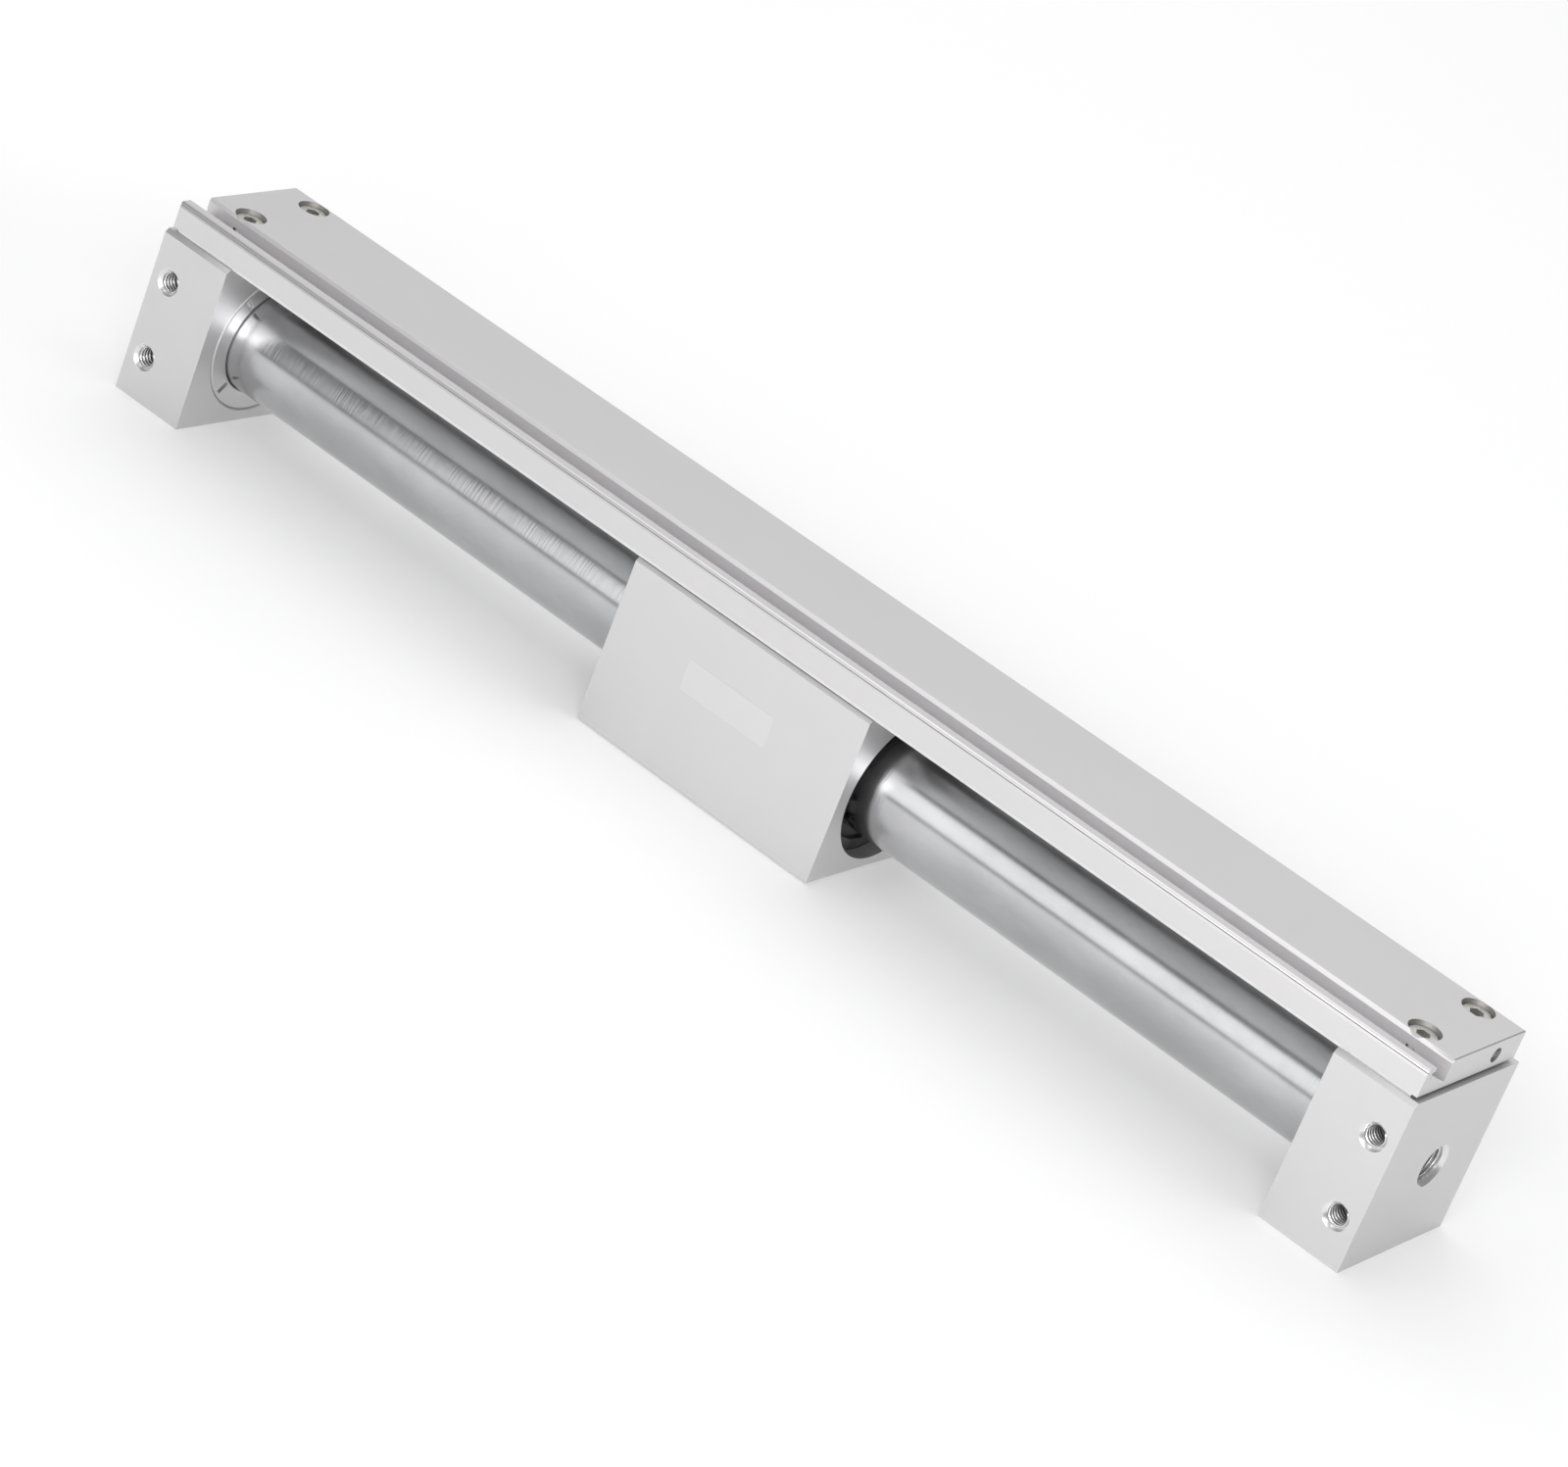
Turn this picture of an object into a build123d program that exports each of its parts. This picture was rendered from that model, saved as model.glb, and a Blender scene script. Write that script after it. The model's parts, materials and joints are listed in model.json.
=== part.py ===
from build123d import *
from math import degrees, sqrt
import os

# Magnetically coupled rodless cylinder, direct-mount type with a switch rail.
# Sizes are in millimetres. X runs along the tube, Y from the mounting side to the load side, Z is up.
# The origin is at the middle of the length and the depth, on the base of the end plates.

# Stroke and lengths
stroke = 250.0
end_allowance = 5.0
slider_length = 70.0
slider_rest = 1.5

# Cylinder tube
tube_bore_r = 12.5
tube_wall = 0.6

# End plates: walls around the attachment ring, and the chamber behind the tube
ring_front_wall = 5.0
ring_back_wall = 1.0
ring_base_wall = 2.8
ring_top_wall = 3.5
plate_edge_chamfer = 1.0
tube_beyond_gasket = 0.7
chamber_step = 1.0
chamber_length = 2.5

# Port in each end plate
port_thread_r = 4.3
port_mouth_r = 5.2
port_length = 8.5

# Mounting holes in the end plates, threaded from the front and counterbored from the back
mount_hole_wall = 0.5
mount_hole_low = 10.7
mount_hole_pitch = 20.0
mount_thread_r = 2.5
mount_thread_mouth_r = 3.3
mount_counterbore_r = 4.5
mount_counterbore_depth = 5.2

# Attachment ring that holds the tube in each end plate
ring_section_width = 4.9
ring_thickness = 5.0
ring_edge_chamfer = 0.35
ring_slot_count = 4
ring_slot_start_angle = 45.0
ring_slot_width = 1.3
ring_slot_length = 3.0
ring_slot_depth = 1.2
ring_screw_r = 1.5
ring_screw_socket = 1.5
ring_screw_below_top = 0.5

# Retaining clip and gasket on each tube end
tube_clip_thickness = 1.2
tube_clip_width = 2.0
tube_clip_groove_depth = 0.3
tube_clip_gap_angle = 50.0
tube_gasket_width = 1.8
tube_gasket_section = 1.7
tube_gasket_from_clip = 1.3

# Switch rail with its slot, and the shielding plate under it
shield_thickness = 0.8
shield_edge_inset = 0.4
shield_end_inset = 2.5
rail_end_inset = 1.0
rail_front = 1.0
rail_back_inset = 1.4
rail_height = 6.8
lip_height = 5.25
lip_edge_run = 0.25
lip_edge_rise = 0.5
bead_groove_depth = 0.45
bead_groove_width = 0.3
bead_inset = 0.1
bead_height = 0.6
bead_run = 0.77
bead_round = 0.8
bead_thickness = 1.0
slot_front = 4.1
slot_back = 10.8
slot_undercut = 1.1
slot_back_undercut = 0.2
slot_front_floor = 4.0
slot_back_floor = 1.5
deck_nose = 3.0
deck_slope_run = 0.5
deck_slope_rise = 0.9
rail_edge_chamfer = 0.3
rail_end_chamfer = 0.2

# Air passage through the rail
passage_r = 1.75
passage_from_screw = 5.8
passage_height = 3.1
branch_r = 1.1
plug_depth = 0.2
rail_gasket_r = 3.0
rail_gasket_seat = 0.6

# Rail screws
rail_screw_from_end = 11.0
rail_screw_front = 14.7
rail_screw_back_inset = 4.05
rail_screw_r = 2.0
rail_head_r = 3.5
rail_head_height = 4.0
rail_counterbore_r = 3.8
rail_counterbore_depth = 5.0
rail_socket_size = 3.0
rail_socket_depth = 2.0
rail_screw_reach = 7.0

# Slider block
slider_setback = 0.8
load_face_proud = 0.8
slider_base_gap = 0.5
slider_top_gap = 0.3
slider_edge_chamfer = 0.8
slider_bore_step = 0.3
load_pitch_x = 40.0
load_pitch_z = 32.0
load_thread_r = 2.1
load_thread_depth = 7.0

# Clip, scraper, felt and wear ring in each mouth of the slider
slider_clip_from_mouth = 3.9
slider_clip_thickness = 1.4
slider_clip_width = 2.6
slider_clip_groove_depth = 0.9
slider_clip_gap_angle = 24.0
slider_clip_gap_turn = 210.0
slider_clip_lug_r = 2.1
slider_clip_eye_r = 1.0
spacer_bore_gap = 0.5
spacer_length = 9.6
scraper_section = 3.2
scraper_thickness = 2.4
felt_thickness = 1.8
slider_wear_ring_width = 3.2
slider_wear_ring_section = 1.6
slider_wear_ring_from_stack = 1.2

# Magnets and yokes, the same stack inside and outside the tube
magnet_count = 3
yoke_length = 4.0
stack_gap = 0.4
switch_magnet_r = 2.5
switch_magnet_height = 5.0
switch_magnet_below_top = 0.4

# Piston assembly
shaft_r = 4.0
piston_spacer_thickness = 1.5
piston_spacer_r = 11.2
piston_gap = 0.3
bumper_inner_wall = 0.9
bumper_outer_wall = 1.6
bumper_proud = 3.3
bumper_seat = 2.0
nut_size = 12.0
nut_height = 4.5
nut_recess_gap = 0.5
nut_recess_depth = 5.0
shaft_below_face = 0.3
piston_wear_ring_width = 5.8
piston_wear_ring_section = 1.4
piston_wear_ring_from_stack = 7.0
piston_seal_width = 3.8
piston_seal_section = 2.8
piston_seal_from_face = 8.0
stop_gap = 0.2

# Clearances
running_gap = 0.06
seat_gap = 0.05
groove_gap = 0.1
screw_tip_gap = 0.5

# Places worked out from the sizes above
tube_r = tube_bore_r + tube_wall
chamber_r = tube_bore_r - chamber_step
ring_r = tube_r + ring_section_width
tube_clip_r = tube_r + tube_clip_width
plate_depth = ring_front_wall + 2 * ring_r + ring_back_wall
plate_height = ring_base_wall + 2 * ring_r + ring_top_wall
inner_face = (stroke + 2 * end_allowance + slider_length) / 2
front_face = -(plate_depth + load_face_proud) / 2
back_face = front_face + plate_depth
plate_y = (front_face + back_face) / 2
tube_y = front_face + ring_front_wall + ring_r
tube_z = ring_base_wall + ring_r
clip_start = inner_face + ring_thickness
clip_end = clip_start + tube_clip_thickness
gasket_start = clip_end + tube_gasket_from_clip
gasket_end = gasket_start + tube_gasket_width
tube_end = gasket_end + tube_beyond_gasket
chamber_end = tube_end + chamber_length
outer_face = chamber_end + port_length
mount_hole_x = chamber_end + mount_hole_wall + mount_thread_r
mount_hole_z = mount_hole_low + mount_hole_pitch / 2
ring_screw_x = inner_face + ring_thickness / 2
shield_top = plate_height + shield_thickness
rail_top = shield_top + rail_height
rail_end = outer_face - rail_end_inset
rail_back_face = back_face - rail_back_inset
rail_screw_x = outer_face - rail_screw_from_end
rail_screw_back_y = rail_back_face - rail_screw_back_inset
rail_screw_front_y = front_face + rail_screw_front
rail_screw_y = (rail_screw_front_y + rail_screw_back_y) / 2
rail_screw_pitch = rail_screw_back_y - rail_screw_front_y
branch_x = tube_end + chamber_length / 2
passage_y = rail_screw_back_y - passage_from_screw
passage_z = shield_top + passage_height
slider_front = front_face + slider_setback
slider_back = back_face + load_face_proud
slider_top = plate_height - slider_top_gap
slider_half = slider_length / 2
slider_bore_r = ring_r + slider_bore_step
slider_clip_inner_r = slider_bore_r - slider_clip_width
slider_clip_outer = slider_half - slider_clip_from_mouth
slider_clip_inner = slider_clip_outer - slider_clip_thickness - groove_gap
spacer_pocket_r = tube_r + scraper_section
stack_half = slider_clip_inner - spacer_length
magnet_length = (2 * stack_half - (magnet_count + 1) * yoke_length) / magnet_count
piston_half = chamber_end - stroke / 2 - stop_gap
piston_face = piston_half - bumper_proud
piston_start = stack_half + piston_spacer_thickness
piston_r = tube_bore_r - piston_gap
nut_recess_r = nut_size / sqrt(3) + nut_recess_gap
bumper_inner_r = nut_recess_r + bumper_inner_wall
bumper_outer_r = piston_r - bumper_outer_wall
sides = {"left": -1, "right": 1}

tube_axis = Axis((0, tube_y, tube_z), (1, 0, 0))
axial = Plane(origin=(0, tube_y, tube_z), x_dir=(1, 0, 0), z_dir=(0, -1, 0))


def cross_plane(station):
    """A plane across the tube axis, facing right, with its origin on the axis."""
    return Plane(origin=(station, tube_y, tube_z), x_dir=(0, 1, 0), z_dir=(1, 0, 0))


def facing_y(x, y, z, direction):
    """A plane that faces the load side or, with direction -1, the mounting side."""
    return Plane(origin=(x, y, z), x_dir=(1, 0, 0), z_dir=(0, direction, 0))


def ring_section(start, end, inner_r, outer_r):
    """Half the section of a ring around the tube axis, between two stations."""
    with BuildSketch(axial) as section:
        with Locations(((start + end) / 2, (inner_r + outer_r) / 2)):
            Rectangle(abs(end - start), outer_r - inner_r)
    return section.sketch


def save(piece, name):
    """Label a finished piece and write it as a node of its own."""
    piece.part.label = name
    export_step(piece.part, f"parts/{name}.step")


os.makedirs("parts", exist_ok=True)

# End plates: a block with the stepped bore, mounting holes and what the rail needs
for side_name, side in sides.items():
    with BuildPart() as end_plate:
        with BuildSketch(Plane.YZ.offset(side * inner_face)):
            with Locations((plate_y, 0)):
                Rectangle(plate_depth, plate_height, align=(Align.CENTER, Align.MIN))
        extrude(amount=side * (outer_face - inner_face))
        top_edges = end_plate.edges().filter_by(Axis.X).group_by(Axis.Z)[-1]
        chamfer(top_edges.sort_by(Axis.Y)[0], length=plate_edge_chamfer)
        # Bore: ring pocket, clip room, tube seat with its gasket groove, chamber, port thread
        bore_steps = (
            (inner_face, ring_r + seat_gap + ring_edge_chamfer),
            (inner_face + ring_edge_chamfer, ring_r + seat_gap),
            (clip_start, ring_r + seat_gap),
            (clip_start, tube_clip_r + groove_gap),
            (clip_end + groove_gap, tube_clip_r + groove_gap),
            (clip_end + groove_gap, tube_r + seat_gap),
            (gasket_start - groove_gap, tube_r + seat_gap),
            (gasket_start - groove_gap, tube_r + tube_gasket_section),
            (gasket_end + groove_gap, tube_r + tube_gasket_section),
            (gasket_end + groove_gap, tube_r + seat_gap),
            (tube_end, tube_r + seat_gap),
            (tube_end, chamber_r),
            (chamber_end, chamber_r),
            (chamber_end, port_thread_r),
            (outer_face - (port_mouth_r - port_thread_r), port_thread_r),
            (outer_face, port_mouth_r),
        )
        with BuildSketch(axial):
            with BuildLine():
                Polyline(
                    (side * inner_face, 0),
                    *[(side * station, radius) for station, radius in bore_steps],
                    (side * outer_face, 0),
                    close=True,
                )
            make_face()
        revolve(axis=tube_axis, mode=Mode.SUBTRACT)
        # Mounting holes right through, with the thread's mouth at the front and the bolt head's at the back
        with Locations(facing_y(side * mount_hole_x, front_face, mount_hole_z, -1)):
            with GridLocations(mount_hole_pitch, mount_hole_pitch, 1, 2):
                CounterSinkHole(mount_thread_r, mount_thread_mouth_r, counter_sink_angle=90)
        with Locations(facing_y(side * mount_hole_x, back_face, mount_hole_z, 1)):
            with GridLocations(mount_hole_pitch, mount_hole_pitch, 1, 2):
                Hole(mount_counterbore_r, depth=mount_counterbore_depth)
        # Rail screw holes, air branch with its gasket seat, and the attachment ring's set screw
        with Locations((side * rail_screw_x, rail_screw_y, plate_height)):
            with GridLocations(rail_screw_pitch, rail_screw_pitch, 1, 2):
                Hole(rail_screw_r, depth=rail_screw_reach + screw_tip_gap)
        with Locations((side * branch_x, passage_y, plate_height)):
            CounterBoreHole(branch_r, rail_gasket_r + seat_gap, rail_gasket_seat, depth=plate_height - tube_z)
        with Locations((side * ring_screw_x, tube_y, plate_height)):
            Hole(ring_screw_r, depth=ring_top_wall)
    save(end_plate, f"end_plate_{side_name}")

# Cylinder tube: thin stainless tube with a groove for a retaining clip near each end
with BuildPart() as cylinder_tube:
    revolve(ring_section(-tube_end, tube_end, tube_bore_r, tube_r), axis=tube_axis)
    for side in sides.values():
        groove = ring_section(side * clip_start, side * clip_end, tube_r - tube_clip_groove_depth, tube_r)
        revolve(groove, axis=tube_axis, mode=Mode.SUBTRACT)
save(cylinder_tube, "cylinder_tube")

# Attachment rings: flush with the plates' inner faces, with slots for a pin wrench
for side_name, side in sides.items():
    with BuildPart() as attachment_ring:
        ring_inner_r = tube_r + groove_gap
        revolve(ring_section(side * inner_face, side * clip_start, ring_inner_r, ring_r), axis=tube_axis)
        face_rims = attachment_ring.edges().filter_by(GeomType.CIRCLE).group_by(Axis.X)
        chamfer(face_rims[0] if side > 0 else face_rims[-1], length=ring_edge_chamfer)
        with BuildSketch(cross_plane(side * inner_face)):
            with PolarLocations((ring_inner_r + ring_r) / 2, ring_slot_count, start_angle=ring_slot_start_angle):
                Rectangle(ring_slot_length, ring_slot_width)
        extrude(amount=side * ring_slot_depth, mode=Mode.SUBTRACT)
    save(attachment_ring, f"attachment_ring_{side_name}")

# Retaining clips on the tube: open spring rings that sit in the tube's grooves
for side_name, side in sides.items():
    with BuildPart() as tube_clip:
        with BuildSketch(cross_plane(side * clip_start)):
            Circle(tube_clip_r)
            Circle(tube_r - tube_clip_groove_depth + seat_gap, mode=Mode.SUBTRACT)
            with BuildLine():
                gap_reach = 2 * tube_clip_r
                Polyline(
                    (0, 0),
                    Vector(gap_reach, 0).rotate(Axis.Z, -90 - tube_clip_gap_angle / 2),
                    Vector(gap_reach, 0).rotate(Axis.Z, -90 + tube_clip_gap_angle / 2),
                    close=True,
                )
            make_face(mode=Mode.SUBTRACT)
        extrude(amount=side * tube_clip_thickness)
    save(tube_clip, f"tube_clip_{side_name}")

# Tube gaskets in the plates' grooves
for side_name, side in sides.items():
    with BuildPart() as tube_gasket:
        gasket_r = tube_r + tube_gasket_section
        revolve(ring_section(side * gasket_start, side * gasket_end, tube_r, gasket_r), axis=tube_axis)
    save(tube_gasket, f"tube_gasket_{side_name}")

# Set screws that lock the attachment rings, one in the top of each plate
with BuildPart() as ring_set_screws:
    screw_top = plate_height - ring_screw_below_top
    screw_length = screw_top - tube_z - ring_r
    with BuildSketch(Plane.XY.offset(screw_top)):
        with Locations((-ring_screw_x, tube_y), (ring_screw_x, tube_y)):
            Circle(ring_screw_r - seat_gap)
    extrude(amount=-screw_length)
    with BuildSketch(Plane.XY.offset(screw_top)):
        with Locations((-ring_screw_x, tube_y), (ring_screw_x, tube_y)):
            RegularPolygon(ring_screw_socket / 2, 6, major_radius=False)
    extrude(amount=-screw_length / 2, mode=Mode.SUBTRACT)
save(ring_set_screws, "ring_set_screws")

# Switch rail: an extruded profile with a beaded lip, an undercut switch slot and a flat deck
lip_front = front_face + rail_front
slot_front_y = front_face + slot_front
slot_back_y = front_face + slot_back
lip_edge_top = shield_top + lip_height + lip_edge_rise
bead_low = lip_edge_top + bead_groove_width
bead_top = bead_low + bead_height
bead_start = (lip_front + bead_inset, bead_low)
bead_end = (lip_front + bead_inset + bead_run, bead_top)
with BuildPart() as switch_rail:
    with BuildSketch(Plane.YZ.offset(-rail_end)):
        with BuildLine():
            Polyline(
                bead_end,
                (slot_front_y, bead_top),
                (slot_front_y, bead_top - bead_thickness),
                (slot_front_y - slot_undercut, bead_top - bead_thickness),
                (slot_front_y - slot_undercut, shield_top + slot_front_floor),
                (slot_front_y + slot_undercut, shield_top + slot_front_floor),
                (slot_back_y, shield_top + slot_back_floor),
                (slot_back_y + slot_back_undercut, shield_top + slot_back_floor),
                (slot_back_y + slot_back_undercut, rail_top - deck_nose),
                (slot_back_y, rail_top - deck_nose),
                (slot_back_y, rail_top - deck_slope_rise),
                (slot_back_y + deck_slope_run, rail_top),
                (rail_back_face - rail_edge_chamfer, rail_top),
                (rail_back_face, rail_top - rail_edge_chamfer),
                (rail_back_face, shield_top),
                (lip_front, shield_top),
                (lip_front, shield_top + lip_height),
                (lip_front + lip_edge_run, lip_edge_top),
                (lip_front + bead_groove_depth, (lip_edge_top + bead_low) / 2),
                bead_start,
            )
            RadiusArc(bead_start, bead_end, bead_round)
        make_face()
    extrude(amount=2 * rail_end)
    deck_ends = switch_rail.edges().filter_by(Axis.Y).group_by(Axis.Z)[-1]
    chamfer(deck_ends, length=rail_end_chamfer)
    # Air passage along the rail, with a branch down to each end plate
    with Locations(Plane(origin=(rail_end, passage_y, passage_z), z_dir=(1, 0, 0))):
        Hole(passage_r, depth=2 * rail_end)
    for side in sides.values():
        with Locations(Plane(origin=(side * branch_x, passage_y, shield_top), z_dir=(0, 0, -1))):
            Hole(branch_r, depth=passage_height)
        with Locations((side * rail_screw_x, rail_screw_y, rail_top)):
            with GridLocations(rail_screw_pitch, rail_screw_pitch, 1, 2):
                CounterBoreHole(rail_screw_r + groove_gap, rail_counterbore_r, rail_counterbore_depth)
save(switch_rail, "switch_rail")

# Magnetic shielding plate between the rail and the end plates
with BuildPart() as shielding_plate:
    shield_front = lip_front + shield_edge_inset
    shield_back = rail_back_face - shield_edge_inset
    with BuildSketch(Plane.XY.offset(plate_height)):
        with Locations((0, (shield_front + shield_back) / 2)):
            Rectangle(2 * (outer_face - shield_end_inset), shield_back - shield_front)
        for side in sides.values():
            with Locations((side * rail_screw_x, rail_screw_y)):
                with GridLocations(rail_screw_pitch, rail_screw_pitch, 1, 2):
                    Circle(rail_screw_r + groove_gap, mode=Mode.SUBTRACT)
            with Locations((side * branch_x, passage_y)):
                Circle(rail_gasket_r + seat_gap, mode=Mode.SUBTRACT)
    extrude(amount=shield_thickness)
save(shielding_plate, "shielding_plate")

# Rail screws: four socket-head cap screws in the rail's counterbores
rail_screw_places = [
    (side * rail_screw_x, rail_screw_y + row * rail_screw_pitch / 2) for side in (-1, 1) for row in (-1, 1)
]
head_seat = rail_top - rail_counterbore_depth
with BuildPart() as rail_screws:
    with BuildSketch(Plane.XY.offset(head_seat)):
        with Locations(*rail_screw_places):
            Circle(rail_head_r)
    extrude(amount=rail_head_height)
    head_rims = rail_screws.edges().filter_by(GeomType.CIRCLE).group_by(Axis.Z)[-1]
    chamfer(head_rims, length=rail_edge_chamfer)
    with BuildSketch(Plane.XY.offset(head_seat)):
        with Locations(*rail_screw_places):
            Circle(rail_screw_r - seat_gap)
    extrude(amount=-(head_seat - plate_height + rail_screw_reach))
    with BuildSketch(Plane.XY.offset(head_seat + rail_head_height)):
        with Locations(*rail_screw_places):
            RegularPolygon(rail_socket_size / 2, 6, major_radius=False)
    extrude(amount=-rail_socket_depth, mode=Mode.SUBTRACT)
save(rail_screws, "rail_screws")

# Gaskets around the air branch, from their seats in the plates up to the rail
for side_name, side in sides.items():
    with BuildPart() as rail_gasket:
        with BuildSketch(Plane.XY.offset(plate_height - rail_gasket_seat)):
            with Locations((side * branch_x, passage_y)):
                Circle(rail_gasket_r)
                Circle(branch_r + groove_gap, mode=Mode.SUBTRACT)
        extrude(amount=rail_gasket_seat + shield_thickness)
    save(rail_gasket, f"rail_gasket_{side_name}")

# Steel balls pressed into the ends of the air passage
with BuildPart() as passage_plugs:
    plug_x = rail_end - plug_depth - passage_r
    with Locations((-plug_x, passage_y, passage_z), (plug_x, passage_y, passage_z)):
        Sphere(passage_r)
save(passage_plugs, "passage_plugs")

# Slider block: bored right through, with clip grooves, load threads and a seat for the switch magnet
switch_magnet_y = (slot_front_y + slot_back_y) / 2
with BuildPart() as slider_block:
    with BuildSketch(Plane.YZ.offset(slider_rest - slider_half)):
        with Locations(((slider_front + slider_back) / 2, slider_base_gap)):
            block_height = slider_top - slider_base_gap
            Rectangle(slider_back - slider_front, block_height, align=(Align.CENTER, Align.MIN))
    extrude(amount=slider_length)
    top_edges = slider_block.edges().filter_by(Axis.X).group_by(Axis.Z)[-1]
    chamfer(top_edges.sort_by(Axis.Y)[0], length=slider_edge_chamfer)
    with Locations(cross_plane(slider_rest + slider_half)):
        Hole(slider_bore_r)
    for side in sides.values():
        groove_r = slider_bore_r + slider_clip_groove_depth
        groove = ring_section(
            slider_rest + side * slider_clip_inner,
            slider_rest + side * slider_clip_outer,
            slider_bore_r,
            groove_r,
        )
        revolve(groove, axis=tube_axis, mode=Mode.SUBTRACT)
    with Locations(facing_y(slider_rest, slider_back, tube_z, 1)):
        with GridLocations(load_pitch_x, load_pitch_z, 2, 2):
            Hole(load_thread_r, depth=load_thread_depth)
    with Locations((slider_rest, switch_magnet_y, slider_top)):
        Hole(switch_magnet_r + seat_gap, depth=switch_magnet_below_top + switch_magnet_height)
save(slider_block, "slider_block")

# Magnet for the position switch, set into the top of the block under the slot
with BuildPart() as switch_magnet:
    with BuildSketch(Plane.XY.offset(slider_top - switch_magnet_below_top)):
        with Locations((slider_rest, switch_magnet_y)):
            Circle(switch_magnet_r)
    extrude(amount=-switch_magnet_height)
save(switch_magnet, "switch_magnet")


def stack(inner_r, outer_r, first, length, count):
    """Rings of one kind in the magnet stack, spaced by one magnet and one yoke."""
    with BuildPart() as rings:
        for index in range(count):
            start = slider_rest - stack_half + first + index * (magnet_length + yoke_length)
            revolve(ring_section(start, start + length, inner_r, outer_r), axis=tube_axis, clean=False)
    return rings


# Magnets and yokes outside the tube, carried by the slider, and inside it, carried by the piston shaft
outer_stack = (tube_r + stack_gap, slider_bore_r - groove_gap)
inner_stack = (shaft_r + seat_gap, tube_bore_r - stack_gap)
save(stack(*outer_stack, yoke_length, magnet_length, magnet_count), "outer_magnets")
save(stack(*outer_stack, 0, yoke_length, magnet_count + 1), "outer_yokes")
save(stack(*inner_stack, yoke_length, magnet_length, magnet_count), "inner_magnets")
save(stack(*inner_stack, 0, yoke_length, magnet_count + 1), "inner_yokes")

# Slider ends: spacer with wear ring, felt and scraper, held in by a spring clip
pocket_start = slider_clip_inner - scraper_thickness - felt_thickness - groove_gap
slider_wear_start = stack_half + slider_wear_ring_from_stack
slider_wear_end = slider_wear_start + slider_wear_ring_width
slider_wear_r = tube_r + running_gap + slider_wear_ring_section
rubbing_r = tube_r + running_gap
for side_name, side in sides.items():
    near, far = slider_rest + side * stack_half, slider_rest + side * slider_clip_inner
    pocket = slider_rest + side * pocket_start
    with BuildPart() as slider_spacer:
        spacer_r = slider_bore_r - groove_gap
        revolve(ring_section(near, far, tube_r + spacer_bore_gap, spacer_r), axis=tube_axis)
        revolve(ring_section(pocket, far, tube_r, spacer_pocket_r), axis=tube_axis, mode=Mode.SUBTRACT)
        groove = ring_section(
            slider_rest + side * (slider_wear_start - groove_gap),
            slider_rest + side * (slider_wear_end + groove_gap),
            tube_r,
            slider_wear_r + groove_gap,
        )
        revolve(groove, axis=tube_axis, mode=Mode.SUBTRACT)
    save(slider_spacer, f"slider_spacer_{side_name}")

    with BuildPart() as slider_wear_ring:
        wear_section = ring_section(
            slider_rest + side * slider_wear_start,
            slider_rest + side * slider_wear_end,
            rubbing_r,
            slider_wear_r,
        )
        revolve(wear_section, axis=tube_axis)
    save(slider_wear_ring, f"slider_wear_ring_{side_name}")

    with BuildPart() as lube_retainer:
        felt_end = pocket + side * felt_thickness
        revolve(ring_section(pocket, felt_end, rubbing_r, spacer_pocket_r - seat_gap), axis=tube_axis)
    save(lube_retainer, f"lube_retainer_{side_name}")

    with BuildPart() as scraper:
        scraper_start = far - side * scraper_thickness
        revolve(ring_section(scraper_start, far, rubbing_r, spacer_pocket_r - seat_gap), axis=tube_axis)
    save(scraper, f"scraper_{side_name}")

    with BuildPart() as slider_clip:
        with BuildSketch(cross_plane(far)):
            Circle(slider_bore_r + slider_clip_groove_depth - groove_gap)
            Circle(slider_clip_inner_r, mode=Mode.SUBTRACT)
            half_gap = slider_clip_gap_angle / 2
            with BuildLine():
                gap_reach = 2 * slider_bore_r
                Polyline(
                    (0, 0),
                    Vector(gap_reach, 0).rotate(Axis.Z, slider_clip_gap_turn - half_gap),
                    Vector(gap_reach, 0).rotate(Axis.Z, slider_clip_gap_turn + half_gap),
                    close=True,
                )
            make_face(mode=Mode.SUBTRACT)
            eye_r = slider_clip_inner_r + slider_clip_eye_r
            lug_turn = half_gap + degrees(slider_clip_lug_r / eye_r)
            with PolarLocations(eye_r, 2, slider_clip_gap_turn - lug_turn, 2 * lug_turn, endpoint=True):
                Circle(slider_clip_lug_r)
                Circle(slider_clip_eye_r, mode=Mode.SUBTRACT)
        extrude(amount=side * slider_clip_thickness)
    save(slider_clip, f"slider_clip_{side_name}")

# Piston shaft through the whole inner assembly
shaft_half = piston_face - shaft_below_face
with BuildPart() as piston_shaft:
    revolve(ring_section(slider_rest - shaft_half, slider_rest + shaft_half, 0, shaft_r), axis=tube_axis)
    shaft_rims = piston_shaft.edges().filter_by(GeomType.CIRCLE)
    chamfer(shaft_rims, length=rail_edge_chamfer)
save(piston_shaft, "piston_shaft")

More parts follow.
